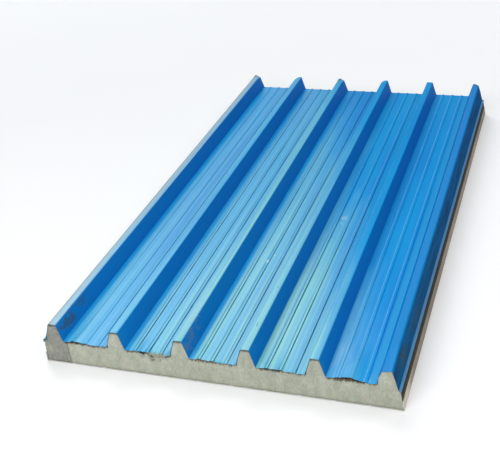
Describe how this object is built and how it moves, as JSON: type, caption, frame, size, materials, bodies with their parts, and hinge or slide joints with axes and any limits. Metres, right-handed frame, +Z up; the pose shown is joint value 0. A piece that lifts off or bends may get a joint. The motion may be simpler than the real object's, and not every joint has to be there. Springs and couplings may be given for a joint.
{
  "type": "insulated roof sandwich panel",
  "caption": "Long flat roof panel: a blue trapezoidal ribbed steel sheet over a mineral-wool core, with a cream steel liner tray below.",
  "frame": {"origin": "on the underside, midway between the outer ribs and between the ends", "axes": "+Y along the panel's length and its ribs, +Z up through the ribs, +X across towards the lapping edge"},
  "size_m": [1.0297, 1.95, 0.1301],
  "materials": {
    "blue_coated_steel": "glossy coil coating",
    "cream_coated_steel": "satin coil coating",
    "mineral_wool": "cut fibre face"
  },
  "bodies": {
    "root": {"weather_sheet": "blue_coated_steel", "liner_sheet": "cream_coated_steel", "core_board": "mineral_wool", "core_edge_strip": "mineral_wool"}
  },
  "joints": []
}
